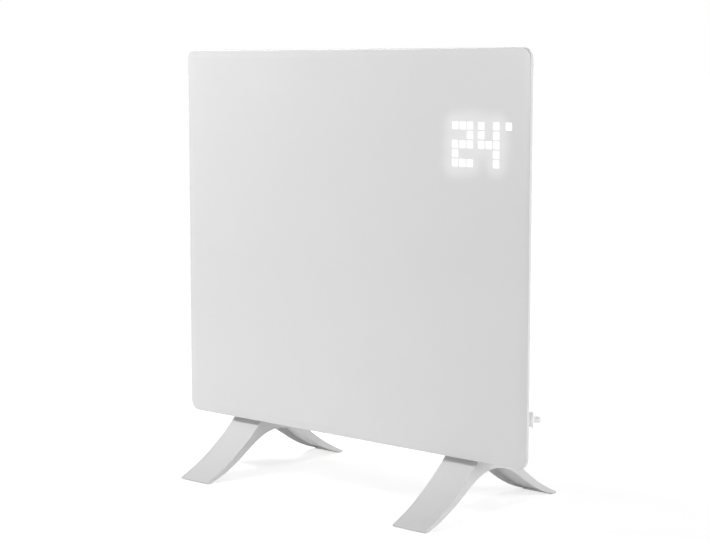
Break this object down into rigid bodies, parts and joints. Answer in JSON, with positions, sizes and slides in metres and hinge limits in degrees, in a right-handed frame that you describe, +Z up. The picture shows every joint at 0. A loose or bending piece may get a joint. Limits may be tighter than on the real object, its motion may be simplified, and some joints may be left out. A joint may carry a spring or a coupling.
{
  "type": "wall panel convector heater",
  "caption": "white glass-fronted panel convector heater on moulded feet, with a tapered steel casing, air slots, louvres, a finned element, controls and a lit temperature display",
  "frame": {"origin": "on the floor, under the middle of the overall box; its underside is the flat face of the four foot pads", "axes": "+X along the glass to the viewer's right when facing the front, +Y towards the wall, so the glass faces -Y, +Z up"},
  "size_m": [0.522, 0.242, 0.515],
  "materials": {
    "white_glass": "tempered glass, white enamel on the back, polished edge",
    "foam_tape": "closed-cell foam tape",
    "white_steel": "white powder coat",
    "zinc_steel": "zinc-plated steel sheet",
    "screw_steel": "zinc-plated",
    "aluminium_sheet": "mill finish sheet",
    "aluminium_element": "matt, slightly darkened",
    "ceramic": "unglazed",
    "milky_film": "translucent film",
    "black_moulding": "moulded, fine grain",
    "circuit_board": "glass-fibre laminate with green solder mask",
    "grey_moulding": "moulded, fine grain",
    "capacitor_sleeve": "shrink sleeve",
    "transformer_core": "laminated steel core with a taped coil",
    "sensor_resin": "cast resin bead",
    "brass_weight": "turned",
    "white_moulding": "moulded, satin",
    "pale_rubber": "moulded",
    "grey_cable": "flexible sleeve"
  },
  "bodies": {
    "heater": {"glass_panel": "white_glass", "glass_tape": "foam_tape", "rear_casing": "white_steel", "front_carrier": "zinc_steel", "element_bracket_left": "zinc_steel", "element_bracket_right": "zinc_steel", "cutout_clip": "zinc_steel", "back_screw_1": "screw_steel", "back_screw_2": "screw_steel", "back_screw_3": "screw_steel", "back_screw_4": "screw_steel", "back_screw_5": "screw_steel", "back_screw_6": "screw_steel", "foot_screw_left_front": "screw_steel", "foot_screw_left_rear": "screw_steel", "foot_screw_right_front": "screw_steel", "foot_screw_right_rear": "screw_steel", "tilt_pin": "screw_steel", "heat_shield": "aluminium_sheet", "heating_element": "aluminium_element", "element_cap_left": "ceramic", "element_cap_right": "ceramic", "display_diffuser": "milky_film", "display_light_grid": "black_moulding", "tilt_switch_housing": "black_moulding", "thermal_cutout": "black_moulding", "relay": "black_moulding", "gland_nut": "black_moulding", "display_board": "circuit_board", "control_board": "circuit_board", "control_box": "grey_moulding", "control_box_lid": "grey_moulding", "terminal_block": "grey_moulding", "sensor_clip": "grey_moulding", "tilt_switch_cover": "grey_moulding", "capacitor": "capacitor_sleeve", "transformer": "transformer_core", "room_sensor": "sensor_resin", "left_foot": "white_moulding", "right_foot": "white_moulding", "cord_gland": "white_moulding", "switch_frame": "white_moulding", "foot_pad_left_front": "pale_rubber", "foot_pad_left_rear": "pale_rubber", "foot_pad_right_front": "pale_rubber", "foot_pad_right_rear": "pale_rubber", "mains_lead": "grey_cable", "element_lead": "grey_cable", "display_lead": "grey_cable", "switch_lead": "grey_cable"},
    "rocker": {"switch_rocker": "black_moulding"},
    "pendulum": {"tilt_pendulum": "brass_weight"}
  },
  "joints": [
    {"name": "rocker_hinge", "type": "hinge", "parent": "heater", "child": "rocker", "pos_m": [0.22179, 0.01357, 0.193], "axis": [0.6018, -0.7986, 0], "range_deg": [0, 12]},
    {"name": "pendulum_hinge", "type": "hinge", "parent": "heater", "child": "pendulum", "pos_m": [0.052, -0.0144, 0.3856], "axis": [1, 0, 0], "range_deg": [-25, 25]}
  ]
}
